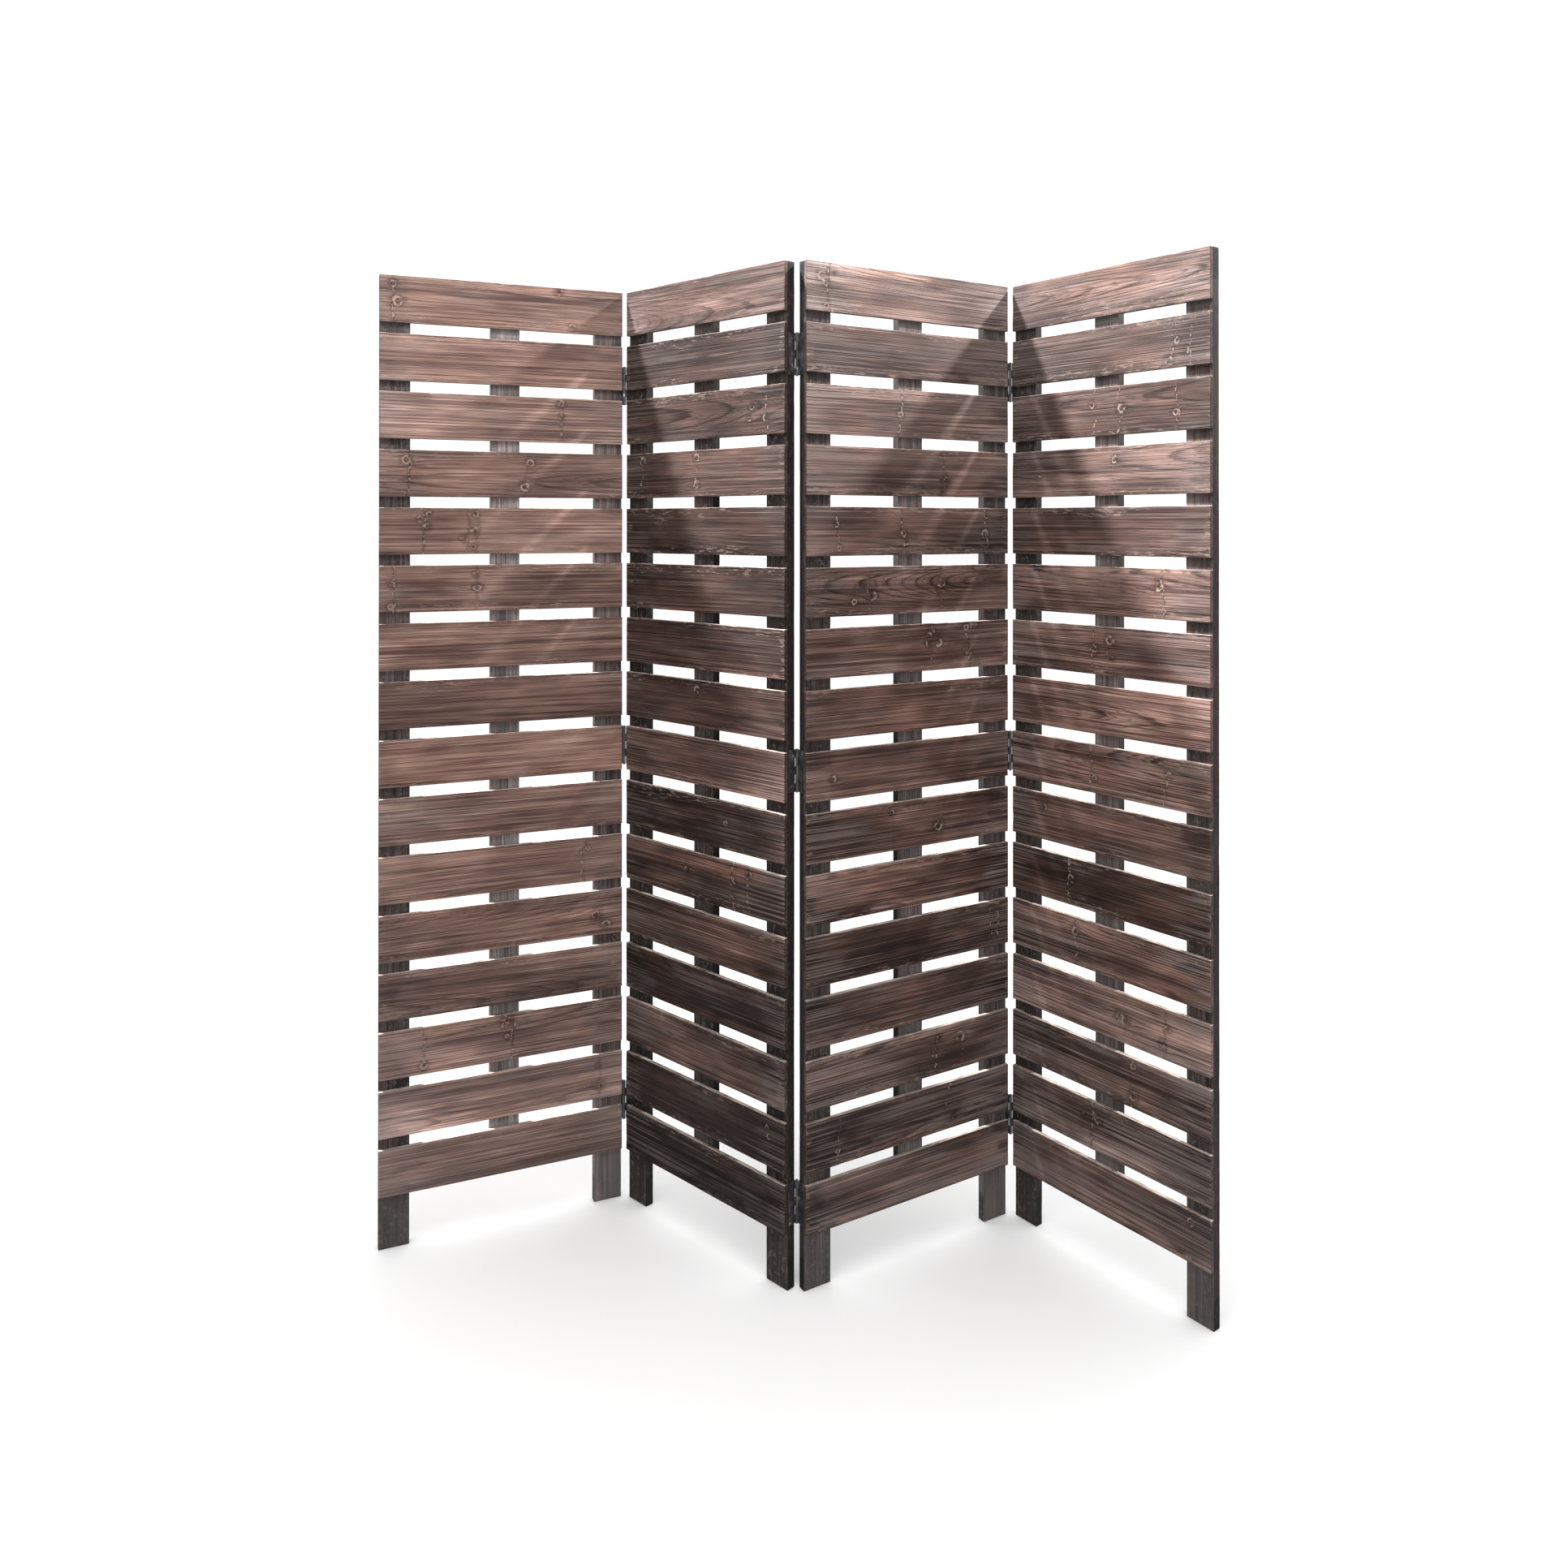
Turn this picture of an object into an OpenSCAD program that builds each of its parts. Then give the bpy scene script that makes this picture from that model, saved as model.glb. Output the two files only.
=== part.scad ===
// Folding room divider screen: four slatted pine panels joined by butt hinges.
//
// Millimetres, +Z up. The screen stands half folded in a zigzag on its eight legs. The slatted
// front faces -Y, panels 1 to 4 run from -X to +X, and the origin is the middle of the outline
// on the floor.
//
// Each panel is drawn in its own frame: x from its left edge to its right edge, y from the
// front of the slats (0) to the back of the stiles, z up from the floor.

/* [Screen] */
// Height from the floor to the top slat
screen_h = 1829; // [1600:1:2100]
// Width of one panel
panel_w = 457.2; // [380:0.1:600]
// Angle of panels 1 and 2 to the line of the screen
first_pair_angle = 33; // [10:0.5:60]
// Angle of panels 3 and 4 to the line of the screen
second_pair_angle = 41.5; // [10:0.5:60]

/* [Slats] */
// Height of one slat
slat_h = 88.9; // [60:0.1:92]
// Thickness of a slat
slat_t = 8; // [6:0.5:12]
// Clear height of the legs under the lowest slat
leg_h = 100; // [60:5:160]

/* [Stiles] */
// Width of a stile, seen from the front
stile_w = 55; // [50:1:70]
// Thickness of a stile, behind the slats
stile_t = 17.4; // [15:0.1:22]

/* [Hinges] */
// Height of a hinge leaf
hinge_h = 76; // [60:1:90]
// Diameter of the hinge pin
pin_d = 3; // [2.5:0.1:4]
// Radial play of the pin in the knuckles that turn on it
pin_play = 0.05; // [0.02:0.01:0.1]
// Thickness of a leaf
leaf_t = 1.45; // [1.3:0.05:2]
// Heights of the hinge centres at the outer two folds, lowest first
outer_fold_hinge_z = [200, 915, 1640]; // [150:1:1780]
// Heights of the hinge centres at the middle fold, lowest first
middle_fold_hinge_z = [152, 920, 1664]; // [150:1:1780]

/* [Fasteners] */
// Shank diameter of a hinge screw
screw_d = 3.4; // [3:0.1:4]
// Head diameter of a hinge screw
screw_head_d = 6; // [5:0.1:6.2]
// Length of a hinge screw with its head
screw_len = 18; // [12:1:25]
// Diameter of a brad
brad_d = 1.2; // [1:0.1:1.8]
// Length of a brad
brad_len = 20; // [16:1:23]

/* [Hidden] */
$fn = 32;
WOOD_SLAT = [0.47, 0.38, 0.32];
WOOD_STILE = [0.27, 0.22, 0.19];
BLACK_METAL = [0.07, 0.07, 0.07];
STEEL = [0.45, 0.45, 0.46];

panel_count = 4;
slat_count = 16;
slats_in_run = 4;
panel_t = slat_t + stile_t;

// The pin axis stands off every face by the radius of the knuckles, so two panels keep a gap
// of twice that, both opened flat and folded shut.
knuckle_r = pin_d / 2 + pin_play + leaf_t;
slat_gap = (screen_h - leg_h - slat_count * slat_h) / (slat_count - 1);
slat_pitch = slat_h + slat_gap;

// Hinge details
leaf_corner_r = 2.5;
leaf_margin = 0.8;
knuckle_count = 5;
knuckle_pitch = hinge_h / knuckle_count;
knuckle_clearance = 0.25;
plate_set_back = 3.4;
pin_head_d = 4.6;
pin_head_h = 1.2;
screw_rows = [-27, 0, 27];
screw_hole_play = 0.1;
screw_tip_len = 4;
recess_l = 3.4;
recess_w = 0.8;
recess_depth = 1.1;
head_cone_h = (screw_head_d - screw_d) / 2;
// Screws bite along the middle of the stile's edge
screw_y = slat_t + stile_t / 2;
// Depth of a pilot hole, which is as deep as the screw
pilot_depth = screw_len - leaf_t;

// Brads are set just under the slat's face, two at each crossing of a slat and a stile, at
// these shares of the stile's width and the slat's height
brad_set = 0.8;
brad_places = [[0.35, 0.25], [0.65, 0.75]];

// Heading of each panel's x axis
heading = [first_pair_angle, -first_pair_angle, second_pair_angle, -second_pair_angle];

// Folds 1 and 3 have their pins in front of the slats, fold 2 has its pin behind the stiles
function pin_y(fold) = fold == 2 ? panel_t + knuckle_r : -knuckle_r;
function hinge_z(fold) = fold == 2 ? middle_fold_hinge_z : outer_fold_hinge_z;

// A point of a panel's own frame turned to the panel's heading
function turned(p, panel) =
    [p.x * cos(heading[panel - 1]) - p.y * sin(heading[panel - 1]),
     p.x * sin(heading[panel - 1]) + p.y * cos(heading[panel - 1])];

// Where each panel's frame lies, chained from pin to pin with panel 1 at zero
function right_pin(panel) = chain(panel) + turned([panel_w + knuckle_r, pin_y(panel)], panel);
function chain(panel) =
    panel == 1 ? [0, 0]
    : right_pin(panel - 1) - turned([-knuckle_r, pin_y(panel - 1)], panel);

// Outline of the whole screen in plan, which sets the origin: the corners of the panels, and the
// edges of the hinge leaves where they stand proud of folds 1 and 3
leaf_edges = [for (x = [-leaf_t, panel_w + leaf_t]) [x, panel_t - leaf_margin]];
corners = [for (p = [1:panel_count], x = [0, panel_w], y = [0, panel_t])
    chain(p) + turned([x, y], p)];
leaf_corners = [for (p = [2, 3]) chain(p) + turned(leaf_edges[p - 2], p)];
outline = concat(corners, leaf_corners);
low = [min([for (c = outline) c.x]), min([for (c = outline) c.y])];
high = [max([for (c = outline) c.x]), max([for (c = outline) c.y])];
middle = (low + high) / 2;

function slat_z(i) = leg_h + (i - 1) * slat_pitch;
function stile_x(side) =
    side == "left" ? 0 : side == "right" ? panel_w - stile_w : (panel_w - stile_w) / 2;
function slats_name(p, run) = str("panel_", p, "_slats_", (run - 1) * slats_in_run + 1, "_to_",
    run * slats_in_run);
function fold_name(f) = str("fold_", f);

STILES = ["left", "middle", "right"];
LEVELS = ["lower", "centre", "upper"];
SIDES = ["left", "right"];
slat_runs = slat_count / slats_in_run;

// Puts a panel's own frame where the panel stands
module on_panel(panel) {
    at = chain(panel) - middle;
    translate([at.x, at.y, 0]) rotate([0, 0, heading[panel - 1]]) children();
}

// Hinge frame of one fold: z is the pin axis, the leaf runs along y and screws go in along -x.
// side "left" is the leaf on the panel left of the fold. Its edge is at x = -knuckle_r.
module on_hinge(fold, side, z) {
    panel = side == "left" ? fold : fold + 1;
    x = side == "left" ? panel_w + knuckle_r : -knuckle_r;
    on_panel(panel) translate([x, pin_y(fold), z])
        mirror([side == "left" ? 0 : 1, 0, 0]) mirror([0, fold == 2 ? 1 : 0, 0]) children();
}

// Distance along a leaf from the pin axis to the row of screws
function screw_s(fold) = abs(pin_y(fold) - screw_y);
// Width of a leaf from the pin axis. At folds 1 and 3 it crosses the slat's end and the stile's
// edge, at fold 2 it stays on the stile's edge.
function leaf_reach(fold) = (fold == 2 ? stile_t : panel_t) + knuckle_r - leaf_margin;

// One slat, from edge to edge of the panel
module slat() {
    cube([panel_w, slat_t, slat_h]);
}

// A run of slats, counted from the bottom
module slats(panel, run) {
    color(WOOD_SLAT) on_panel(panel)
        for (i = [(run - 1) * slats_in_run + 1:run * slats_in_run])
            translate([0, 0, slat_z(i)]) slat();
}

// Pilot holes for the screws of one fold, in the edge of the stile they go into
module pilot_holes(fold, side) {
    for (z = hinge_z(fold), row = screw_rows)
        translate([side == "left" ? panel_w - pilot_depth : -1, screw_y, z + row])
            rotate([0, 90, 0]) cylinder(d = screw_d, h = pilot_depth + 1);
}

// An upright behind the slats. The outer two run down to the floor as the panel's legs, and the
// middle one ends with the lowest slat.
module stile(panel, side) {
    foot = side == "middle" ? leg_h : 0;
    color(WOOD_STILE) on_panel(panel) difference() {
        translate([stile_x(side), slat_t, foot]) cube([stile_w, stile_t, screen_h - foot]);
        if (side == "right" && panel < panel_count) pilot_holes(panel, "left");
        if (side == "left" && panel > 1) pilot_holes(panel - 1, "right");
    }
}

// The brads of one panel, driven through every slat into every stile
module brads(panel) {
    color(STEEL) on_panel(panel)
        for (i = [1:slat_count], side = STILES, share = brad_places)
            translate([stile_x(side) + stile_w * share.x, brad_set, slat_z(i) + slat_h * share.y])
                rotate([-90, 0, 0]) cylinder(d = brad_d, h = brad_len);
}

// Rounded plate outline of a leaf, with its barrel edge at y = 0
module leaf_outline(reach) {
    translate([0, -hinge_h / 2]) square([reach - leaf_corner_r, hinge_h]);
    translate([0, leaf_corner_r - hinge_h / 2]) square([reach, hinge_h - 2 * leaf_corner_r]);
    for (v = [-1, 1])
        translate([reach - leaf_corner_r, v * (hinge_h / 2 - leaf_corner_r)])
            circle(leaf_corner_r);
}

// Countersunk hole through a leaf, and with play 0 the outside of the screw head
module countersink(play) {
    rotate([0, 90, 0]) cylinder(d1 = screw_d + 2 * play, d2 = screw_head_d + 2 * play,
                                h = head_cone_h);
}

// Height slots of the knuckles that belong to a leaf: odd ones on the left, even on the right
function knuckles(side) = side == "left" ? [0, 2, 4] : [1, 3];
function knuckle_z(k) = (k - knuckle_count / 2) * knuckle_pitch;

// Space that the other leaf's knuckles turn in
module knuckle_room(side) {
    for (k = knuckles(side))
        translate([-2 * knuckle_r, -plate_set_back, knuckle_z(k) - knuckle_clearance / 2])
            cube([4 * knuckle_r, 2 * plate_set_back, knuckle_pitch + knuckle_clearance]);
}

// One leaf in the hinge frame, with its knuckles rolled round the pin axis
module leaf(fold, side) {
    bore_r = pin_d / 2 + (side == "right" ? pin_play : 0);
    other = side == "left" ? "right" : "left";
    difference() {
        union() {
            difference() {
                translate([-knuckle_r, 0, 0]) rotate([90, 0, 90])
                    linear_extrude(leaf_t) leaf_outline(leaf_reach(fold));
                knuckle_room(other);
            }
            for (k = knuckles(side))
                translate([0, 0, knuckle_z(k) + knuckle_clearance / 2])
                    cylinder(r = knuckle_r, h = knuckle_pitch - knuckle_clearance);
        }
        translate([0, 0, -hinge_h]) cylinder(r = bore_r, h = 2 * hinge_h);
        for (row = screw_rows) translate([leaf_t - knuckle_r, screw_s(fold), row]) {
            translate([-head_cone_h, 0, 0]) countersink(screw_hole_play);
            translate([-2 * leaf_t, 0, 0]) rotate([0, 90, 0])
                cylinder(d = screw_d + 2 * screw_hole_play, h = 2 * leaf_t);
        }
    }
}

// Leaf of one hinge in its place
module hinge_leaf(fold, z, side) {
    color(BLACK_METAL) on_hinge(fold, side, z) leaf(fold, side);
}

// The three pins of a fold, each with a low button at both ends
module hinge_pins(fold) {
    color(BLACK_METAL) for (z = hinge_z(fold)) on_hinge(fold, "left", z) {
        translate([0, 0, -hinge_h / 2]) cylinder(d = pin_d, h = hinge_h);
        for (v = [0, 1]) mirror([0, 0, v]) translate([0, 0, hinge_h / 2])
            cylinder(d1 = pin_head_d, d2 = pin_head_d - pin_head_h, h = pin_head_h);
    }
}

// Flat-head wood screw with a cross recess, its head flush with the plane x = 0, driven along -x
module screw() {
    difference() {
        union() {
            translate([-head_cone_h, 0, 0]) countersink(0);
            translate([screw_tip_len - screw_len, 0, 0]) rotate([0, 90, 0])
                cylinder(d = screw_d, h = screw_len - screw_tip_len - head_cone_h);
            translate([-screw_len, 0, 0]) rotate([0, 90, 0])
                cylinder(d1 = screw_d / 5, d2 = screw_d, h = screw_tip_len);
        }
        for (a = [0, 90]) rotate([a, 0, 0])
            translate([-recess_depth, -recess_l / 2, -recess_w / 2])
                cube([2 * recess_depth, recess_l, recess_w]);
    }
}

// The nine screws that hold one fold's leaves to the panel on one side
module screws(fold, side) {
    color(BLACK_METAL) for (z = hinge_z(fold), row = screw_rows) on_hinge(fold, side, z + row)
        translate([leaf_t - knuckle_r, screw_s(fold), 0]) screw();
}

for (p = [1:panel_count]) {
    for (s = STILES)
        stile(p, s);
    for (r = [1:slat_runs])
        slats(p, r);
    brads(p);
}
for (f = [1:3]) {
    for (l = [0:2], s = SIDES)
        hinge_leaf(f, hinge_z(f)[l], s);
    hinge_pins(f);
    for (s = SIDES)
        screws(f, s);
}
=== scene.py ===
"""Looks of the folding room divider screen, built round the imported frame. Metres, +Z up."""

import math
from collections import namedtuple

import bpy
import numpy as np
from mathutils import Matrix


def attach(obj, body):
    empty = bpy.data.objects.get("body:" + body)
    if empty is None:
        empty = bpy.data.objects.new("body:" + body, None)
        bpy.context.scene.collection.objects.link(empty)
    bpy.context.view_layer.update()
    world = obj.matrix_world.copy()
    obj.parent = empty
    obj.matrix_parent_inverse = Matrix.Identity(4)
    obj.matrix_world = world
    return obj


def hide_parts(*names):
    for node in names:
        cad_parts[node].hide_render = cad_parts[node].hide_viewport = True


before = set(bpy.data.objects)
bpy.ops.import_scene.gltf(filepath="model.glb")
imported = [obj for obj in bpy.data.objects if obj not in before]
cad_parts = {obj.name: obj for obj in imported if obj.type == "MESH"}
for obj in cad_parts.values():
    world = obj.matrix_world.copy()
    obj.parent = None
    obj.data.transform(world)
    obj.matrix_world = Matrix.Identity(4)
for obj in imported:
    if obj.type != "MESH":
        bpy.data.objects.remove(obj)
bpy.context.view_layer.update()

PANELS = (1, 2, 3, 4)
STILE_SIDES = ("left", "middle", "right")
SLATS_PER_NODE = 4
SLAT_NODES_PER_PANEL = 4
MM = 0.001


# ---------------------------------------------------------------- camera

CAMERA_PLACE = (0.501, -2.280, 1.355)
CAMERA_YAW = math.radians(8.86)
CAMERA_PITCH = math.radians(0.19)
CAMERA_LENS = 28.07
CAMERA_SENSOR = 36
CAMERA_SHIFT = (-0.054, -0.1665)


def make_camera():
    data = bpy.data.cameras.new("camera")
    data.sensor_width = CAMERA_SENSOR
    data.lens = CAMERA_LENS
    data.shift_x, data.shift_y = CAMERA_SHIFT
    camera = bpy.data.objects.new("camera", data)
    camera.location = CAMERA_PLACE
    camera.rotation_euler = (math.pi / 2 + CAMERA_PITCH, 0, CAMERA_YAW)
    bpy.context.scene.collection.objects.link(camera)
    bpy.context.scene.camera = camera


# ---------------------------------------------------------------- noise for the meshes

LATTICE_SIDE = 64
LATTICE_SEED = 7
LATTICE = np.random.default_rng(LATTICE_SEED).uniform(-1, 1, (LATTICE_SIDE,) * 3)


def smooth_noise(x, y, z):
    """Noise from -1 to 1 with one bump per unit along each axis"""
    points = np.stack(np.broadcast_arrays(x, y, z), axis=-1).astype(float)
    cell = np.floor(points).astype(int)
    part = points - cell
    part = part * part * (3 - 2 * part)
    total = np.zeros(points.shape[:-1])
    for corner in np.ndindex(2, 2, 2):
        at = (cell + corner) % LATTICE_SIDE
        weight = np.where(corner, part, 1 - part).prod(axis=-1)
        total += weight * LATTICE[at[..., 0], at[..., 1], at[..., 2]]
    return total


def smooth_step(value, low, high):
    """0 at low, 1 at high and eased between"""
    part = np.clip((value - low) / (high - low), 0, 1)
    return part * part * (3 - 2 * part)


# ---------------------------------------------------------------- how a board is cut

# How far a sharp edge is worn round
EDGE = 1.1 * MM

# Ranges that each board draws its own value from. The pith's place across the board is in board
# widths, so most boards are sawn beside the pith.
PITH_PLACE = (-0.9, 1.9)
PITH_DEPTH = (0.015, 0.055)
PITH_TILT = (-0.06, 0.06)
RING_SPACING = (3.6 * MM, 6.4 * MM)
RING_CONTRAST = (0.5, 1.0)

# Where whorls lie along the board and knots across it, as shares of its length and width
WHORL_ALONG = (0.04, 0.96)
KNOT_ACROSS = (0.08, 0.92)
KNOTS_IN_WHORL = (1, 1, 2, 3)
WHORL_STRENGTH = (0.1, 1.0)
WHORL_SCATTER = 6 * MM
WHORL_LINE = 3 * MM

# How hard the grain bends round a knot, and how long the bend is for its width
KNOT_BEND = 1.8
KNOT_STRETCH = 2.6

# Knot distances stop counting at this many radii
FAR_FROM_KNOTS = 6.0

# The mesh is this much denser at a knot, over so many of its radii
KNOT_DENSITY = 2.0
KNOT_REACH = 2.5
STATION_SAMPLES = 1500


class Wood:
    """One board's place in its trunk. u runs along the grain, v across it, w into the board."""

    def __init__(self, rng, length, width, whorls_per_metre, knot_radii):
        self.rng = rng
        self.length = length
        self.width = width
        self.offset = rng.uniform(0, 50, 3)
        self.pith_v = width * rng.uniform(*PITH_PLACE)
        self.pith_depth = rng.uniform(*PITH_DEPTH)
        self.tilt = rng.uniform(*PITH_TILT)
        self.year = rng.uniform(*RING_SPACING)
        self.contrast = rng.uniform(*RING_CONTRAST)
        self.whorls = []
        self.knots = []
        for _ in range(rng.poisson(whorls_per_metre * length)):
            self.add_whorl(knot_radii)

    def add_whorl(self, knot_radii):
        """Branches leave a pine stem in whorls, so knots lie in short rows across the board"""
        at = self.rng.uniform(*WHORL_ALONG) * self.length
        self.whorls.append((at, self.rng.uniform(*WHORL_STRENGTH)))
        for _ in range(self.rng.choice(KNOTS_IN_WHORL)):
            u = at + self.rng.normal(0, WHORL_SCATTER)
            v = self.rng.uniform(*KNOT_ACROSS) * self.width
            self.knots.append((u, v, self.rng.uniform(*knot_radii)))

    def bump(self, u, v, w, reach):
        """Noise of this board alone, with bumps as long, wide and deep as reach"""
        x, y, z = self.offset
        return smooth_noise(u / reach[0] + x, v / reach[1] + y, w / reach[2] + z)

    def across(self, u, v, w):
        """Distance across the grain once the fibres have bent round the knots"""
        bent = v + 3.5 * MM * self.bump(u, v, w, (0.30, 0.09, 0.03))
        bent += 0.6 * MM * self.bump(u, v, w, (0.07, 0.02, 0.02))
        for knot_u, knot_v, radius in self.knots:
            away = bent - knot_v
            spread = ((u - knot_u) / KNOT_STRETCH) ** 2 + away ** 2
            bent = bent - away * KNOT_BEND * radius ** 2 / (spread + radius ** 2)
        return bent

    def years(self, u, v, w):
        """Growth rings counted from the pith"""
        depth = self.pith_depth + self.tilt * (u - self.length / 2) + w
        depth += 6 * MM * self.bump(u, v, w, (0.22, 0.2, 0.1))
        count = np.hypot(self.across(u, v, w) - self.pith_v, depth) / self.year
        return count + 0.8 * smooth_noise(count / 3 + self.offset[0], self.offset[1], 0)

    def knot_distance(self, u, v):
        """Distance to the nearest knot's centre, in that knot's radii"""
        nearest = np.full(u.shape, FAR_FROM_KNOTS)
        for knot_u, knot_v, radius in self.knots:
            nearest = np.minimum(nearest, np.hypot(u - knot_u, v - knot_v) / radius)
        return nearest

    def whorl_trace(self, u, v, w):
        """How much of the puckered line that joins a whorl's knots lies here"""
        trace = np.zeros(u.shape)
        for at, strength in self.whorls:
            swerve = at + 7 * MM * self.bump(0 * u, v, w, (1, 0.03, 0.1))
            swerve += 3 * MM * self.bump(0 * u, v, w, (1, 0.009, 0.1))
            near = np.exp(-(((u - swerve) / WHORL_LINE) ** 2))
            trace = np.maximum(trace, strength * near)
        return trace

    def stations(self, count, size, axis):
        """Lines of the mesh from 0 to size along u or v, closer together at the knots"""
        inside = np.linspace(EDGE, size - EDGE, STATION_SAMPLES)
        density = np.full(inside.shape, 1.0)
        for knot in self.knots:
            reach = KNOT_REACH * knot[2]
            density += KNOT_DENSITY * np.exp(-(((inside - knot[axis]) / reach) ** 2))
        total = np.concatenate(([0], np.cumsum((density[1:] + density[:-1]) / 2)))
        spaced = np.interp(np.linspace(0, total[-1], count - 3), total, inside)
        return with_ends(spaced, size)


def with_ends(spaced, size):
    """Adds the two lines that round each edge of a face"""
    near = 0.4 * EDGE
    return np.concatenate(([0, near], spaced, [size - near, size]))


# ---------------------------------------------------------------- board meshes

def box_surface(nu, nv, nw):
    """Grid indices of a box's surface points, and its quads with their normals outwards"""
    index = np.full((nu + 1, nv + 1, nw + 1), -1)
    i, j, k = np.indices(index.shape)
    surface = (i % nu == 0) | (j % nv == 0) | (k % nw == 0)
    index[surface] = np.arange(surface.sum())
    quads = []
    for axis, first, second in ((2, 0, 1), (1, 2, 0), (0, 1, 2)):
        for end in (0, -1):
            face = np.take(index, end, axis=axis)
            face = face if first < second else face.T
            corners = [face[:-1, :-1], face[1:, :-1], face[1:, 1:], face[:-1, 1:]]
            if end == -1:
                corners.reverse()
            quads.append(np.stack([c.ravel() for c in corners], axis=1))
    return i[surface], j[surface], k[surface], np.concatenate(quads)


def mesh_from(name, points, quads, floats, vectors):
    """A smooth mesh with point attributes"""
    mesh = bpy.data.meshes.new(name)
    mesh.vertices.add(len(points))
    mesh.vertices.foreach_set("co", points.ravel())
    mesh.loops.add(quads.size)
    mesh.loops.foreach_set("vertex_index", quads.ravel())
    mesh.polygons.add(len(quads))
    mesh.polygons.foreach_set("loop_start", np.arange(0, quads.size, 4))
    mesh.polygons.foreach_set("use_smooth", np.ones(len(quads), bool))
    mesh.update(calc_edges=True)
    for key, values in floats.items():
        mesh.attributes.new(key, "FLOAT", "POINT").data.foreach_set("value", values)
    for key, values in vectors.items():
        attribute = mesh.attributes.new(key, "FLOAT_VECTOR", "POINT")
        attribute.data.foreach_set("vector", values.ravel())
    return mesh


# How deep the brush has taken the soft wood, the handling's uneven wear and the moat round knots
BRUSHED_DEPTH = 0.10 * MM
WORN_DEPTH = 0.28 * MM
MOAT_DEPTH = 0.22 * MM


def worn_arris(wood, nominal, size):
    """Radius of the worn edge nearest each point, and how much paler wood is rubbed bare there. The
    rubbing is kept mostly to the upper arris, so the lower arris stays dark as painted shade.
    """
    u, v, w = nominal.T
    chips = smooth_step(wood.bump(u, v, w, (0.03, 0.03, 0.02)), 0.35, 0.9)
    worn = wood.bump(u, v, w, (0.09, 0.05, 0.05))
    radius = (EDGE * (0.85 + 0.35 * worn + 0.9 * chips))[:, None]

    to_faces = np.minimum(nominal, np.array(size) - nominal)
    edge_distance = np.sort(to_faces, axis=1)[:, 1]
    near_edge = smooth_step(-edge_distance, -1.3 * EDGE, 0)
    handled = 0.35 + 0.65 * smooth_step(wood.bump(u, v, w, (0.06, 0.03, 0.02)), -0.1, 0.6)
    # Painted shade: rubbed paleness fades towards the low side of v, so a slat's lower arris stays
    # dark as if in shadow
    top_lit_share = 0.15 + 0.85 * smooth_step(v, 0.8 * size[1], size[1])
    return radius, np.clip(near_edge * (handled * top_lit_share + chips), 0, 1)


def sunk_depth(wood, nominal, years, knot):
    """How far the surface lies below the sawn face. Knots stand a little proud."""
    u, v, w = nominal.T
    brushed = 0.5 + 0.5 * np.cos(2 * math.pi * years)
    uneven = 0.5 + 0.5 * wood.bump(u, v, w, (0.11, 0.025, 0.02))
    sunk = BRUSHED_DEPTH * brushed + WORN_DEPTH * uneven
    sunk += MOAT_DEPTH * smooth_step(knot, 0.8, 1.1) * smooth_step(-knot, -1.9, -1.2)
    sunk *= 1 - 0.6 * smooth_step(-knot, -0.9, -0.5)
    return sunk


def board(name, corner, axes, size, wood, counts, tone, material, upper):
    """A sawn and brushed board. corner is where u, v and w are 0, and w runs in from the front.

    The surface only ever lies inside the sawn size. counts are the mesh's steps along u, v and w.
    tone holds the paleness, partly stain and partly painted shade, the dust, and the haze, partly
    painted sheen. upper is 1 where the side at the far end of v faces up; that side gathers dust
    and is painted paler, as if lit from above.
    """
    nu, nv, nw = counts
    i, j, k, quads = box_surface(nu, nv, nw)
    steps_u = wood.stations(nu, size[0], 0)
    steps_v = wood.stations(nv, size[1], 1)
    steps_w = with_ends(np.linspace(EDGE, size[2] - EDGE, nw - 3), size[2])
    u, v, w = steps_u[i], steps_v[j], steps_w[k]
    nominal = np.stack((u, v, w), axis=1)

    years = wood.years(u, v, w)
    knot = wood.knot_distance(u, v)
    radius, rub = worn_arris(wood, nominal, size)
    core = np.clip(nominal, radius, np.array(size) - radius)
    out = nominal - core
    out /= np.maximum(np.linalg.norm(out, axis=1, keepdims=True), 1e-9)
    local = core + out * (radius - sunk_depth(wood, nominal, years, knot)[:, None])
    points = np.asarray(corner) + local @ np.asarray(axes)

    from_end = np.minimum(u, size[0] - u)
    from_side = np.minimum(v, size[1] - v)
    floats = {
        "years": years,
        "knot": knot,
        "whorl": wood.whorl_trace(u, v, w),
        "rub": rub,
        "grain": np.full(len(points), wood.contrast),
        "from_end": from_end,
        "from_side": from_side,
        "end_grain": smooth_step(-from_end, -0.5 * EDGE, 0),
        "side_face": smooth_step(-from_side, -0.5 * EDGE, 0),
        "upper_edge": upper * smooth_step(v, size[1] - 0.5 * EDGE, size[1]),
    }
    vectors = {
        "place": nominal + wood.offset * 0.1,
        "tone": np.tile(np.asarray(tone, float), (len(points), 1)),
    }
    mesh = mesh_from(name, points, quads, floats, vectors)
    mesh.materials.append(material)
    piece = bpy.data.objects.new(name, mesh)
    bpy.context.scene.collection.objects.link(piece)
    return piece


# ---------------------------------------------------------------- shader nodes

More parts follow.
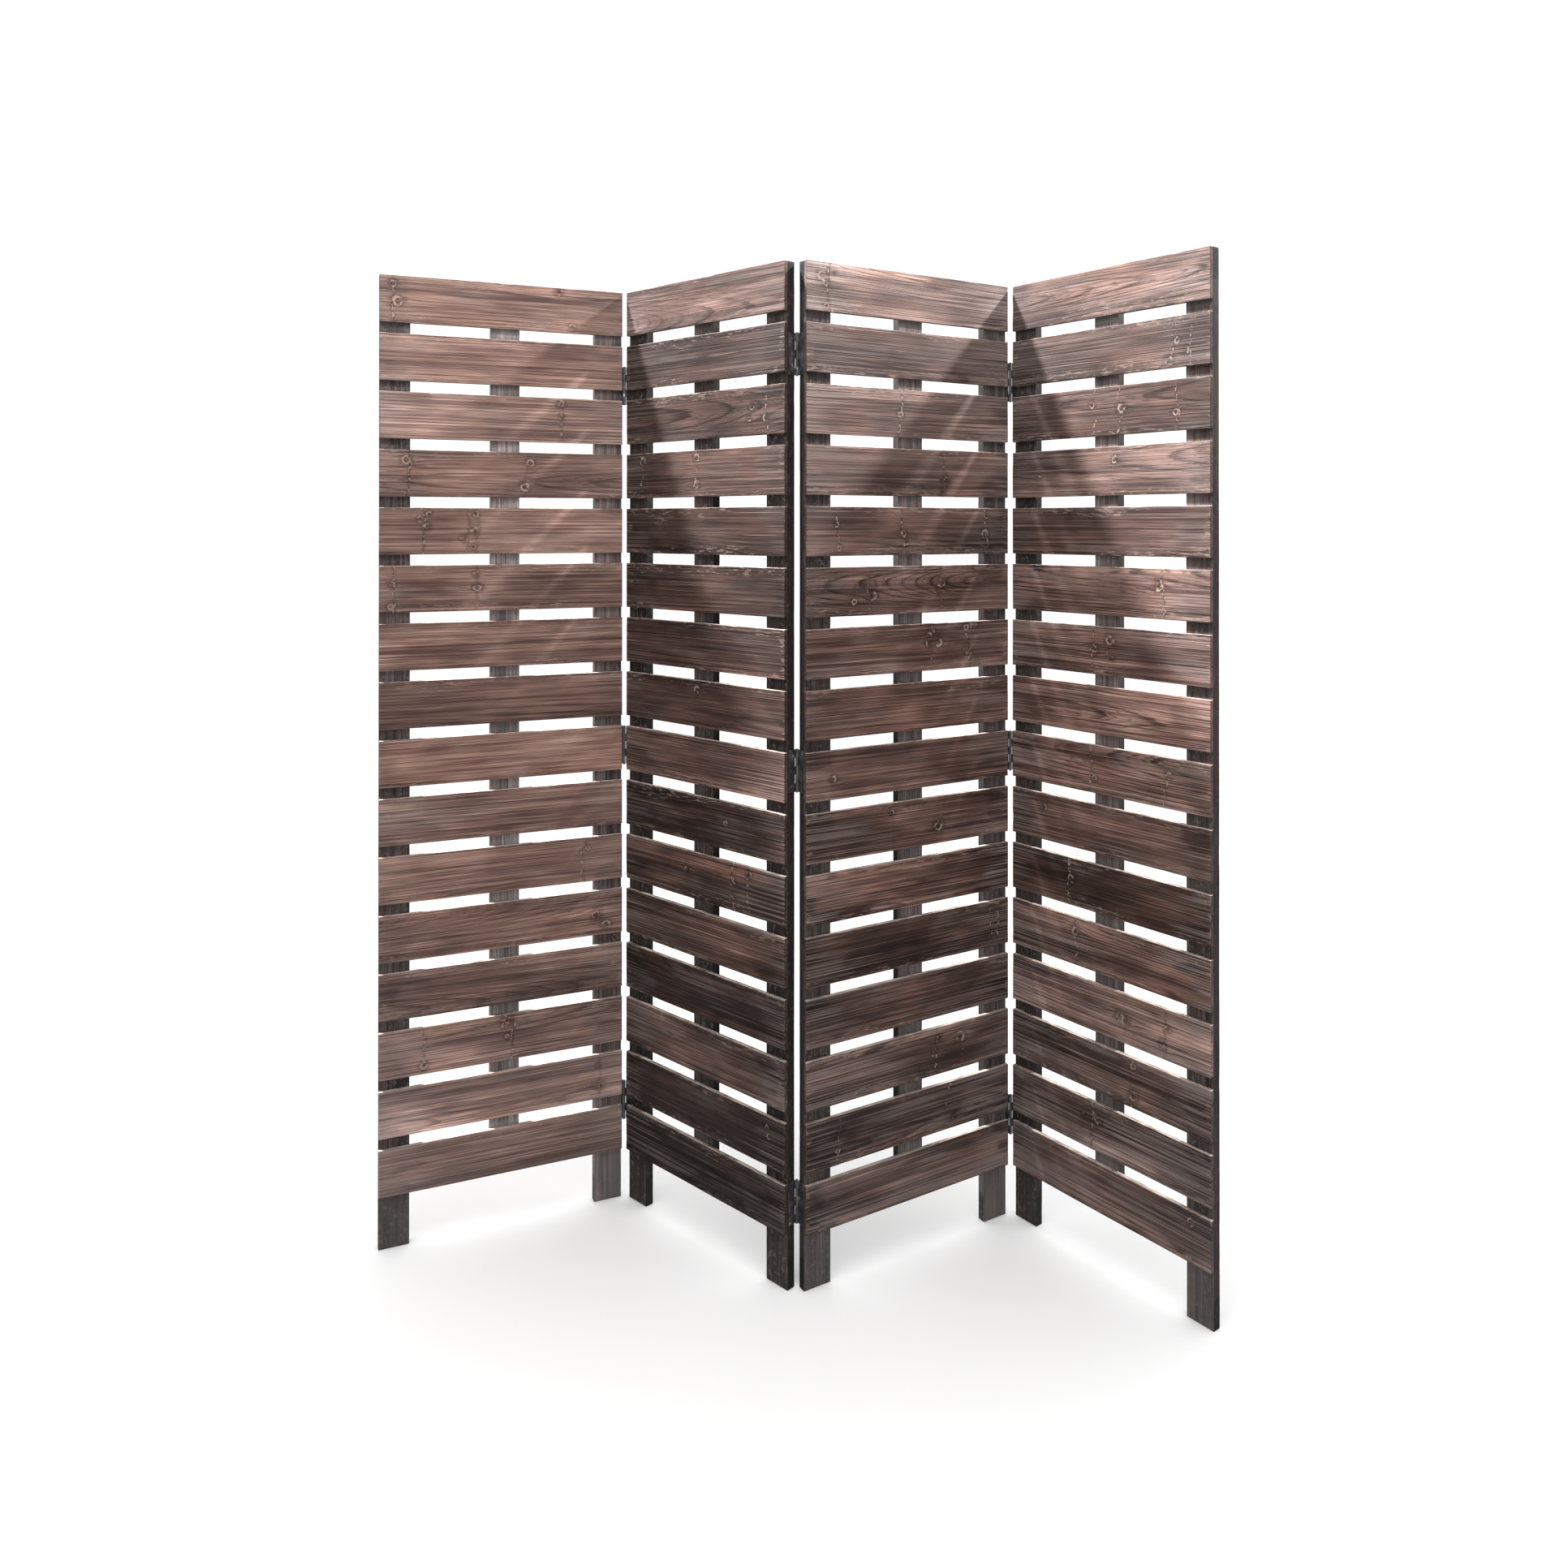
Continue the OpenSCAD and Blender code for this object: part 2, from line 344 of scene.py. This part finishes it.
class Shader:
    """A material under construction. Each method adds nodes and gives their output."""

    def __init__(self, name):
        self.material = bpy.data.materials.new(name)
        self.material.use_nodes = True
        self.tree = self.material.node_tree
        self.bsdf = self.tree.nodes["Principled BSDF"]

    def feed(self, socket, value):
        """Links a node's output to the socket, or sets a number, vector or colour on it"""
        if isinstance(value, bpy.types.NodeSocket):
            self.tree.links.new(value, socket)
        elif hasattr(socket.default_value, "__len__") and not hasattr(value, "__len__"):
            socket.default_value = [value] * len(socket.default_value)
        elif hasattr(value, "__len__") and len(value) == 3 and len(socket.default_value) == 4:
            socket.default_value = (*value, 1)
        else:
            socket.default_value = value

    def add(self, kind, **settings):
        node = self.tree.nodes.new(kind)
        for key, value in settings.items():
            setattr(node, key, value)
        return node

    def attribute(self, name, output="Fac"):
        return self.add("ShaderNodeAttribute", attribute_name=name).outputs[output]

    def object_place(self):
        return self.add("ShaderNodeTexCoord").outputs["Object"]

    def parts(self, vector):
        node = self.add("ShaderNodeSeparateXYZ")
        self.feed(node.inputs[0], vector)
        return node.outputs

    def joined(self, x, y, z):
        node = self.add("ShaderNodeCombineXYZ")
        for socket, value in zip(node.inputs, (x, y, z)):
            self.feed(socket, value)
        return node.outputs[0]

    def math(self, operation, first, second=0.0, third=0.0, clamp=False):
        node = self.add("ShaderNodeMath", operation=operation, use_clamp=clamp)
        for socket, value in zip(node.inputs, (first, second, third)):
            self.feed(socket, value)
        return node.outputs[0]

    def product(self, first, *others):
        for other in others:
            first = self.math("MULTIPLY", first, other)
        return first

    def line(self, value, slope, start, clamp=False):
        """start + slope * value"""
        return self.math("MULTIPLY_ADD", value, slope, start, clamp)

    def noise(self, place, per_metre, detail=3.0, roughness=0.55):
        """Noise from 0 to 1, with so many bumps per metre along x, y and z"""
        scaled = self.add("ShaderNodeVectorMath", operation="MULTIPLY")
        self.feed(scaled.inputs[0], place)
        self.feed(scaled.inputs[1], per_metre)
        node = self.add("ShaderNodeTexNoise")
        self.feed(node.inputs["Vector"], scaled.outputs["Vector"])
        self.feed(node.inputs["Scale"], 1.0)
        self.feed(node.inputs["Detail"], detail)
        self.feed(node.inputs["Roughness"], roughness)
        return node.outputs["Fac"]

    def ramp(self, value, *stops):
        """Stops are (place, grey)"""
        node = self.add("ShaderNodeValToRGB")
        elements = node.color_ramp.elements
        while len(elements) < len(stops):
            elements.new(0.5)
        for element, (place, grey) in zip(elements, stops):
            element.position = place
            element.color = (grey, grey, grey, 1)
        self.feed(node.inputs[0], value)
        return node.outputs[0]

    def span(self, value, low, high, to_low=0.0, to_high=1.0):
        """Maps low..high to to_low..to_high with eased ends"""
        node = self.add("ShaderNodeMapRange", interpolation_type="SMOOTHSTEP")
        for socket, item in zip(node.inputs, (value, low, high, to_low, to_high)):
            self.feed(socket, item)
        return node.outputs[0]

    def mix(self, share, first, second, blend="MIX"):
        node = self.add("ShaderNodeMix", data_type="RGBA", blend_type=blend)
        self.feed(node.inputs["Factor"], share)
        self.feed(node.inputs[6], first)
        self.feed(node.inputs[7], second)
        return node.outputs[2]

    def bump(self, height, strength, distance):
        node = self.add("ShaderNodeBump")
        self.feed(node.inputs["Strength"], strength)
        self.feed(node.inputs["Distance"], distance)
        self.feed(node.inputs["Height"], height)
        return node.outputs["Normal"]

    def finish(self, **sockets):
        """Feeds the Principled BSDF. Underscores stand for the spaces in its sockets' names."""
        for name, value in sockets.items():
            self.feed(self.bsdf.inputs[name.replace("_", " ")], value)
        return self.material


# ---------------------------------------------------------------- stained pine

# warm and cool are the soft wood where the stain is thin and thick, late the hard dark rings, dust
# the grey left in the fibres, which is also laid as the painted sheen of the haze, and pale the
# worn arrises and the upper edge, which is partly painted light from above. side_shade darkens the
# sawn sides, sealed_ends is how much black sealer covers their ends, dabs how much the face is
# dabbed with pale rubs and leg_haze how grey the legs are.
Stain = namedtuple("Stain", "warm cool late dust pale side_shade sealed_ends dabs leg_haze")

BROWN_STAIN = Stain(warm=(0.200, 0.118, 0.093), cool=(0.071, 0.0345, 0.028),
                    late=(0.020, 0.009, 0.008), dust=(0.190, 0.158, 0.150),
                    pale=(0.40, 0.34, 0.30),
                    side_shade=0.45, sealed_ends=0.0, dabs=0.0, leg_haze=0.0)
DARK_STAIN = Stain(warm=(0.056, 0.040, 0.038), cool=(0.022, 0.017, 0.016),
                   late=(0.006, 0.005, 0.005), dust=(0.085, 0.080, 0.078),
                   pale=(0.20, 0.18, 0.17),
                   side_shade=0.7, sealed_ends=1.0, dabs=0.55, leg_haze=0.35)
SEALER = (0.007, 0.007, 0.007)

# Metres from a board's end: where it greys and darkens, where a leg ends, where sealer ends
END_REACH = 0.12
LEG_REACH = (0.106, 0.092)
SEALER_REACH = (0.056, 0.052)

FIBRE_ROUGHNESS = 0.6
RELIEF = 0.6 * MM


class Pine(Shader):
    """Stained, wire-brushed pine, laid down layer by layer on self.colour"""

    def __init__(self, name, stain):
        super().__init__(name)
        self.stain = stain
        self.place = self.attribute("place", "Vector")
        self.paleness, self.dust, self.haze = self.parts(self.attribute("tone", "Vector"))
        self.from_end = self.attribute("from_end")
        self.side_face = self.attribute("side_face")
        self.knot = self.attribute("knot")
        self.whorl = self.attribute("whorl")
        self.faded = self.mix(0.3, stain.warm, stain.pale)
        self.fine = self.fibres(12, 1000)
        self.strand = self.fibres(2.4, 380)
        self.coarse = self.fibres(3, 220)
        self.patch = self.fibres(6, 17)
        self.cloud = self.fibres(4, 11)
        self.speck = self.noise(self.place, (260, 170, 160))
        self.near_end = self.span(self.line(self.centred(self.cloud), -0.16, self.from_end),
                                  END_REACH, 0.0)
        self.colour = None
        self.lines = None

    def fibres(self, along, across, detail=2.0):
        """Noise stretched along the grain, with so many bumps per metre along and across it"""
        return self.noise(self.place, (along, across, across), detail, FIBRE_ROUGHNESS)

    def centred(self, noise):
        return self.math("SUBTRACT", noise, 0.5)

    def lay(self, share, colour, blend="MIX"):
        self.colour = self.mix(share, self.colour, colour, blend)

    def soak_stain(self):
        """Stain soaks in unevenly, in patches and in streaks along the grain"""
        thick = self.line(self.centred(self.fibres(1.0, 48)), 0.6, 0.5)
        thick = self.line(self.centred(self.patch), 0.65, thick)
        thick = self.line(self.centred(self.fibres(1.6, 150)), 0.9, thick)
        self.colour = self.mix(self.span(thick, 0.33, 0.70), self.stain.warm, self.stain.cool)
        thin = self.span(self.line(self.centred(self.coarse), 0.6, self.cloud), 0.56, 0.74)
        self.lay(self.product(thin, 0.5), self.faded)
        # The haze share, partly a painted sheen on the upper slats, lays grey in patches, with more
        # of it towards the ends
        hazy = self.line(self.near_end, 0.8, self.span(self.patch, 0.25, 0.65, 0.5, 1.3))
        self.lay(self.math("MULTIPLY", self.haze, hazy, clamp=True), self.stain.dust)
        swell = self.ramp(self.fibres(2.6, 9, 3.0), (0.32, 0.25), (0.5, 1.0), (0.66, 2.3))
        self.lay(self.line(self.dust, 1.1, 0.2, clamp=True), swell, "MULTIPLY")

    def grow_rings(self):
        """Soft wood darkens into the hard ring, then starts again, with finer lines between"""
        wander = self.line(self.coarse, 0.4, self.attribute("years"))
        ring = self.ramp(self.math("FRACT", wander), (0.0, 0.0), (0.50, 0.05), (0.72, 0.35),
                         (0.84, 1.0), (0.96, 1.0), (1.0, 0.0))
        inner = self.math("FRACT", self.line(wander, 3.0, self.coarse))
        inner = self.ramp(inner, (0.0, 0.0), (0.60, 0.1), (0.88, 0.85), (1.0, 0.0))
        ring = self.product(ring, self.span(self.fibres(5, 26), 0.32, 0.56, 0.3, 1.0))
        inner = self.product(inner, self.span(self.fibres(7, 40), 0.38, 0.56))
        pores = self.span(self.fibres(2.2, 400), 0.56, 0.66, 0.0, 0.75)
        self.lines = self.math("MAXIMUM", self.math("MAXIMUM", ring, inner), pores)
        self.lay(self.product(self.lines, self.attribute("grain")), self.stain.late)

    def comb_fibres(self):
        """Single fibres, and strands of them where the board is dusty, differ in shade"""
        self.lay(0.9, self.ramp(self.fine, (0.28, 0.50), (0.5, 1.0), (0.72, 1.6)), "MULTIPLY")
        stranded = self.line(self.dust, 0.75, 0.3, clamp=True)
        stranded = self.product(stranded, self.span(self.fibres(7, 22), 0.36, 0.58, 0.35, 1.0))
        self.lay(stranded, self.ramp(self.strand, (0.32, 0.40), (0.5, 1.0), (0.68, 2.0)),
                 "MULTIPLY")

    def blot_ends(self):
        """Dark stain gathers in blots, most of them towards the ends, and legs turn grey"""
        blot = self.span(self.line(self.near_end, 0.17, self.fibres(6, 24)), 0.63, 0.74)
        share = self.line(self.dust, 0.75, 0.12, clamp=True)
        self.lay(self.product(blot, share), self.stain.late)
        self.lay(self.span(self.from_end, *LEG_REACH, 0.0, self.stain.leg_haze), self.stain.dust)

    def knot_shape(self):
        """Distance from a knot in its radii, with a ragged outline"""
        ragged = self.centred(self.noise(self.place, (130, 130, 90), 4.0, 0.7))
        return self.line(ragged, 3.0, self.knot)

    def set_knots(self, shape):
        """Grain crowds round a knot's dark core, and a whorl's knots are joined by a dark line"""
        stain = self.stain
        mottle = self.noise(self.place, (260, 200, 200), 3.0, 0.7)
        core = self.mix(self.span(mottle, 0.40, 0.60), stain.late,
                        self.mix(0.6, stain.warm, stain.cool))
        self.lay(self.span(shape, 3.8, 1.4, 0.0, 0.5), stain.late)
        self.lay(self.span(shape, 1.2, 0.8, 0.0, 0.85), core)
        self.lay(self.product(self.whorl, 0.65), stain.late)

    def stain_and_shade(self):
        """The board's own share of stain, partly painted shade. Thick stain is a little redder."""
        return self.joined(self.paleness, self.math("POWER", self.paleness, 1.07),
                           self.math("POWER", self.paleness, 1.09))

    def fleck(self, shape):
        """Pale flecks on the knots' rims and in the pucker between a whorl's knots"""
        rim = self.product(self.span(shape, 1.9, 1.4), self.span(self.fibres(70, 70), 0.46, 0.58))
        specks = self.product(self.span(self.speck, 0.53, 0.62), self.span(self.whorl, 0.15, 0.6))
        flecks = self.math("MAXIMUM", specks, self.product(rim, self.span(shape, 0.8, 1.2)))
        self.lay(self.product(flecks, 0.65), self.mix(0.35, self.stain.warm, self.stain.pale))

    def settle_dust(self, stain_and_shade):
        """Grey dust stays in the brushed fibres, above all near ends, in worn patches and dabs"""
        dust = self.stain.dust
        zone = self.span(self.line(self.near_end, 0.18, self.fibres(5, 14, 3.0)), 0.46, 0.64)
        zone = self.product(zone, self.span(self.strand, 0.46, 0.60), self.dust, 0.8)
        self.lay(zone, self.mix(0.6, dust, self.mix(1.0, dust, stain_and_shade, "MULTIPLY")))
        dabbed = self.span(self.noise(self.place, (90, 120, 120), 4.0, 0.7), 0.54, 0.64)
        self.lay(self.product(dabbed, self.stain.dabs), dust)

    def scuff(self):
        """A few long scratches, and pale scuffs along the outline where boards rub in handling"""
        scratch = self.span(self.fibres(3, 330, 1.0), 0.73, 0.76)
        self.lay(self.product(scratch, 0.4), self.faded)
        outline = self.math("MINIMUM", self.attribute("from_side"), self.from_end)
        margin = self.span(self.line(self.centred(self.cloud), -0.10, outline), 0.012, 0.0)
        scuffed = self.product(margin, self.span(self.fibres(50, 330, 3.0), 0.54, 0.64))
        self.lay(self.product(scuffed, 0.35), self.faded)

    def saw_edges(self):
        """Sawn faces drink the stain. Worn arrises show paler wood, and the upper edge is painted
        paler, partly dust and partly painted light from above.
        """
        sawn = self.math("MAXIMUM", self.side_face, self.attribute("end_grain"))
        self.lay(self.product(sawn, self.stain.side_shade), self.stain.late)
        ragged = self.line(self.centred(self.patch), 0.02, self.from_end)
        sealer = self.product(self.span(ragged, *SEALER_REACH), self.span(self.speck, 0.62, 0.58))
        sealed = self.product(self.side_face, self.stain.sealed_ends)
        self.lay(self.product(sealer, sealed), SEALER)
        rubbed = self.span(self.fibres(45, 60, 3.0), 0.40, 0.58, 0.15, 0.85)
        self.lay(self.product(self.attribute("rub"), rubbed), self.faded)
        # The upper edge is painted pale: partly dust, partly painted light falling from above
        dust_and_top_light = self.span(self.fibres(30, 200, 3.0), 0.30, 0.65, 0.1, 0.7)
        self.lay(self.product(self.attribute("upper_edge"), dust_and_top_light), self.stain.pale)

    def relief(self):
        """Height of the fibres, rings and puckers that are too small for the mesh"""
        height = self.line(self.fine, 0.5, self.product(self.lines, 0.5))
        height = self.line(self.strand, 0.6, height)
        return self.line(self.product(self.whorl, self.speck), 0.9, height)


def stained_pine(name, stain):
    s = Pine(name, stain)
    s.soak_stain()
    s.grow_rings()
    s.comb_fibres()
    s.blot_ends()
    shape = s.knot_shape()
    s.set_knots(shape)
    stain_and_shade = s.stain_and_shade()
    # Each board's paleness, partly stain and partly painted shade, darkens its colour
    s.lay(1.0, stain_and_shade, "MULTIPLY")
    s.fleck(shape)
    s.settle_dust(stain_and_shade)
    s.scuff()
    s.saw_edges()
    rough = s.span(s.math("ADD", s.lines, s.fine), 0.2, 1.6, 0.88, 0.66)
    return s.finish(Base_Color=s.colour, Roughness=rough, Specular_IOR_Level=0.12,
                    Normal=s.bump(s.relief(), 0.6, RELIEF))


# ---------------------------------------------------------------- hardware

HINGE_BLACK = (0.009, 0.010, 0.010)
SCREW_BLACK = (0.030, 0.030, 0.030)
METAL_DUST = (0.11, 0.10, 0.095)
BARE_STEEL = (0.34, 0.33, 0.31)
BRIGHT_STEEL = (0.42, 0.42, 0.43)


def black_metal(name, colour, roughness):
    """Painted steel with a little texture, dust and a few chips down to the metal"""
    s = Shader(name)
    place = s.object_place()
    grain = s.noise(place, (900, 900, 900), 2.0)
    rub = s.noise(place, (90, 90, 60), 4.0)
    chip = s.span(rub, 0.66, 0.70)
    shade = s.mix(s.span(rub, 0.45, 0.60, 0.0, 0.25), colour, METAL_DUST)
    shade = s.mix(chip, shade, BARE_STEEL)
    rough = s.span(grain, 0.3, 0.7, roughness, roughness + 0.2)
    return s.finish(Base_Color=shade, Roughness=rough, Metallic=s.product(chip, 0.9),
                    Specular_IOR_Level=0.5, Normal=s.bump(grain, 0.25, 0.05 * MM))


def bright_wire(name):
    s = Shader(name)
    drawn = s.noise(s.object_place(), (2500, 300, 2500), 2.0)
    return s.finish(Base_Color=BRIGHT_STEEL, Metallic=1.0,
                    Roughness=s.span(drawn, 0.3, 0.7, 0.3, 0.5))


def finish_hardware():
    """CAD nodes that stay get their finish"""
    hinge = black_metal("black_hinge_paint", HINGE_BLACK, 0.34)
    screw = black_metal("black_screw_finish", SCREW_BLACK, 0.30)
    wire = bright_wire("brad_wire")
    for name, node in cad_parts.items():
        if "_stile" in name or "_slats_" in name:
            continue
        finish = wire if name.endswith("_brads") else screw if name.endswith("_screws") else hinge
        node.data.materials.clear()
        node.data.materials.append(finish)


# ---------------------------------------------------------------- where the panels stand

UP = np.array((0.0, 0.0, 1.0))


class Panel:
    """A panel's front left foot in plan, and the directions along it and to its back"""

    def __init__(self, number):
        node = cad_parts[f"panel_{number}_slats_1_to_4"]
        plan = np.array([v.co.xy for v in node.data.vertices])
        along = np.linalg.svd(plan - plan.mean(axis=0))[2][0]
        along = along if along[0] > 0 else -along
        back = np.array((-along[1], along[0]))
        self.number = number
        self.body = f"panel_{number}"
        self.along = np.array((*along, 0))
        self.back = np.array((*back, 0))
        self.width = np.ptp(plan @ along)
        self.slat_t = np.ptp(plan @ back)
        self.origin = self.along * (plan @ along).min() + self.back * (plan @ back).min()

    def slat_levels(self, node):
        """Lowest and highest z of each slat in a node"""
        heights = np.unique(np.round([v.co.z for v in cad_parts[node].data.vertices], 5))
        return heights.reshape(-1, 2)

    def span_of(self, node, direction):
        """How far a node reaches along a direction, from the panel's origin"""
        points = np.array([v.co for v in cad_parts[node].data.vertices])
        reach = (points - self.origin) @ direction
        return reach.min(), reach.max()


# ---------------------------------------------------------------- slats

SLAT_COUNTS = (150, 38, 6)
SLAT_SEED = 1000
SLAT_WHORLS_PER_METRE = 2.2
SLAT_KNOT_RADII = (2.5 * MM, 5.5 * MM)

# How pale each slat comes out, from the lowest slat up. This is partly the stain and partly painted
# shade: panels 2, 3 and 4 are made darker than panel 1 for the shade that falls on them, panel 2
# most of all, with its lowest slats darkest.
SLAT_STAIN_AND_SHADE = {
    1: (0.95, 1.2, 0.95, 0.65, 0.75, 0.9, 0.95, 1.1, 0.6, 1.0, 1.0, 0.95, 0.8, 1.25, 0.9, 0.8),
    2: (0.1, 0.12, 0.35, 0.14, 0.3, 0.27, 0.15, 0.6, 0.2, 0.25, 0.2, 0.15, 0.33, 0.2, 0.2, 0.6),
    3: (0.4, 0.3, 0.45, 0.25, 0.3, 0.55, 0.4, 0.6, 0.4, 0.7, 0.5, 0.3, 0.5, 0.7, 0.55, 0.75),
    4: (0.4, 0.7, 0.5, 0.85, 0.45, 0.25, 0.55, 0.7, 0.9, 0.65, 0.6, 0.5, 0.45, 0.32, 0.3, 0.5),
}

# How strongly the grain shows on each panel's slats
GRAIN = {1: 0.85, 2: 0.95, 3: 0.9, 4: 1.0}

# How much pale dust lies in each panel's grain. MID_DUST of it is left above the lower slats, and
# each slat keeps its own share.
DUST = {1: 0.35, 2: 0.85, 3: 1.0, 4: 1.0}
MID_DUST = 0.55
MID_DUST_SLATS = (5, 9)
SLAT_DUST_SHARE = (0.6, 1.0)

# How grey the lowest slat is. The grey is gone by the sixth.
FOOT_HAZE = {1: 0.25, 2: 0.5, 3: 0.3, 4: 0.4}
FOOT_HAZE_SLATS = (6, 1)

# Share of painted sheen, a pale haze standing for reflected light, on the top slat, which fades
# down to the ninth
TOP_SHEEN = {1: 0.10, 2: 0.15, 3: 0.35, 4: 0.25}
TOP_SHEEN_SLATS = (9, 16)
SLAT_OWN_HAZE = (0.0, 0.08)


def slat_tone(panel, number, rng):
    """Paleness, dust and haze of a panel's slat, counted from the lowest. The paleness is partly
    painted shade and the haze partly painted sheen.
    """
    haze = TOP_SHEEN[panel.number] * smooth_step(number, *TOP_SHEEN_SLATS)
    haze += FOOT_HAZE[panel.number] * smooth_step(number, *FOOT_HAZE_SLATS)
    dust = DUST[panel.number] * rng.uniform(*SLAT_DUST_SHARE)
    dust *= 1 - (1 - MID_DUST) * smooth_step(number, *MID_DUST_SLATS)
    # The paleness is partly the stain and partly painted shade
    stain = SLAT_STAIN_AND_SHADE[panel.number][number - 1]
    return stain, dust, rng.uniform(*SLAT_OWN_HAZE) + haze


def make_slats(panel, material):
    number = 0
    for run in range(SLAT_NODES_PER_PANEL):
        first = run * SLATS_PER_NODE + 1
        node = f"{panel.body}_slats_{first}_to_{first + SLATS_PER_NODE - 1}"
        for low, high in panel.slat_levels(node):
            number += 1
            rng = np.random.default_rng(SLAT_SEED * panel.number + number)
            size = (panel.width, high - low, panel.slat_t)
            wood = Wood(rng, size[0], size[1], SLAT_WHORLS_PER_METRE, SLAT_KNOT_RADII)
            wood.contrast *= GRAIN[panel.number]
            tone = slat_tone(panel, number, rng)
            piece = board(f"{panel.body}_slat_{number:02d}", panel.origin + UP * low,
                          (panel.along, UP, panel.back), size, wood, SLAT_COUNTS, tone, material, 1)
            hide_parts(node)
            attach(piece, panel.body)


# ---------------------------------------------------------------- stiles

STILE_COUNTS = (240, 24, 8)
STILE_SEED = 500
STILE_WHORLS_PER_METRE = 0.6
STILE_KNOT_RADII = (2.5 * MM, 5.0 * MM)
STILE_GRAIN = 0.25
STILE_DUST = 0.25
STILE_OWN_HAZE = (0.0, 0.15)

# How pale the left, middle and right stile come out: partly stain and partly painted shade, with
# the outer stiles made darker than the middle ones and panel 2's darkest
STILE_STAIN_AND_SHADE = {1: (0.9, 2.5, 1.5), 2: (0.3, 0.8, 0.3), 3: (0.85, 1.5, 1.1), 4: (0.42, 1.7, 0.95)}


def make_stiles(panel, material):
    for count, side in enumerate(STILE_SIDES):
        node = f"{panel.body}_{side}_stile"
        left, right = panel.span_of(node, panel.along)
        front, rear = panel.span_of(node, panel.back)
        low, high = panel.span_of(node, UP)
        rng = np.random.default_rng(STILE_SEED * panel.number + count)
        size = (high - low, right - left, rear - front)
        wood = Wood(rng, size[0], size[1], STILE_WHORLS_PER_METRE, STILE_KNOT_RADII)
        wood.contrast *= STILE_GRAIN
        # The stile's paleness is partly stain and partly painted shade
        tone = (STILE_STAIN_AND_SHADE[panel.number][count], STILE_DUST, rng.uniform(*STILE_OWN_HAZE))
        corner = panel.origin + panel.along * right + panel.back * front + UP * low
        piece = board(f"{node}_board", corner, (UP, -panel.along, panel.back), size, wood,
                      STILE_COUNTS, tone, material, 0)
        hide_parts(node)
        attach(piece, panel.body)


# ---------------------------------------------------------------- stage and light

WORLD_STRENGTH = 1.1
FLOOR_HALF = 60.0
FLOOR_COLOUR = (0.94, 0.94, 0.94)

# Name, place, target, size, watts, and EXCLUDE for lamps that leave the floor unlit or INCLUDE for
# the one that lights nothing else
SOFTBOXES = (
    ("left_softbox", (-4.6, 0.4, 8.5), (0.3, 0.0, 1.5), (0.7, 0.7), 6200, "EXCLUDE"),
    ("right_softbox", (1.7, 0.35, 3.0), (0.2, 0.0, 1.5), (0.12, 0.12), 200, "EXCLUDE"),
    ("top_softbox", (0.1, -1.1, 2.9), (0.1, 0.0, 1.7), (2.4, 0.4), 55, "EXCLUDE"),
    ("low_fill", (1.0, -1.9, 0.5), (-0.4, 0.1, 0.5), (1.2, 0.6), 9, "EXCLUDE"),
    ("floor_softbox", (0.3, -0.6, 4.0), (0.3, -0.6, 0.0), (3.0, 3.0), 60, "INCLUDE"),
)


def make_floor():
    s = Shader("pale_floor")
    mesh = bpy.data.meshes.new("floor")
    half = FLOOR_HALF
    corners = [(-half, -half, 0), (half, -half, 0), (half, half, 0), (-half, half, 0)]
    mesh.from_pydata(corners, [], [(0, 1, 2, 3)])
    mesh.materials.append(s.finish(Base_Color=FLOOR_COLOUR, Roughness=0.9))
    floor = bpy.data.objects.new("floor", mesh)
    bpy.context.scene.collection.objects.link(floor)
    return floor


def make_softbox(name, place, target, size, watts, floor_state, floor):
    data = bpy.data.lights.new(name, "AREA")
    data.shape = "RECTANGLE"
    data.size, data.size_y = size
    data.energy = watts
    lamp = bpy.data.objects.new(name, data)
    lamp.location = place
    aim = lamp.location - type(lamp.location)(target)
    lamp.rotation_euler = aim.to_track_quat("Z", "Y").to_euler()
    bpy.context.scene.collection.objects.link(lamp)
    receivers = bpy.data.collections.new(f"{name}_receivers")
    receivers.objects.link(floor)
    receivers.collection_objects[0].light_linking.link_state = floor_state
    lamp.light_linking.receiver_collection = receivers


def make_studio():
    floor = make_floor()
    world = bpy.data.worlds.new("studio")
    world.use_nodes = True
    background = world.node_tree.nodes["Background"]
    background.inputs["Color"].default_value = (1, 1, 1, 1)
    background.inputs["Strength"].default_value = WORLD_STRENGTH
    bpy.context.scene.world = world
    for softbox in SOFTBOXES:
        make_softbox(*softbox, floor)
    bpy.context.scene.view_settings.view_transform = "Standard"


# ---------------------------------------------------------------- build

make_camera()
slat_pine = stained_pine("brown_stained_pine", BROWN_STAIN)
stile_pine = stained_pine("dark_stained_pine", DARK_STAIN)
for number in PANELS:
    panel = Panel(number)
    make_slats(panel, slat_pine)
    make_stiles(panel, stile_pine)
finish_hardware()
make_studio()
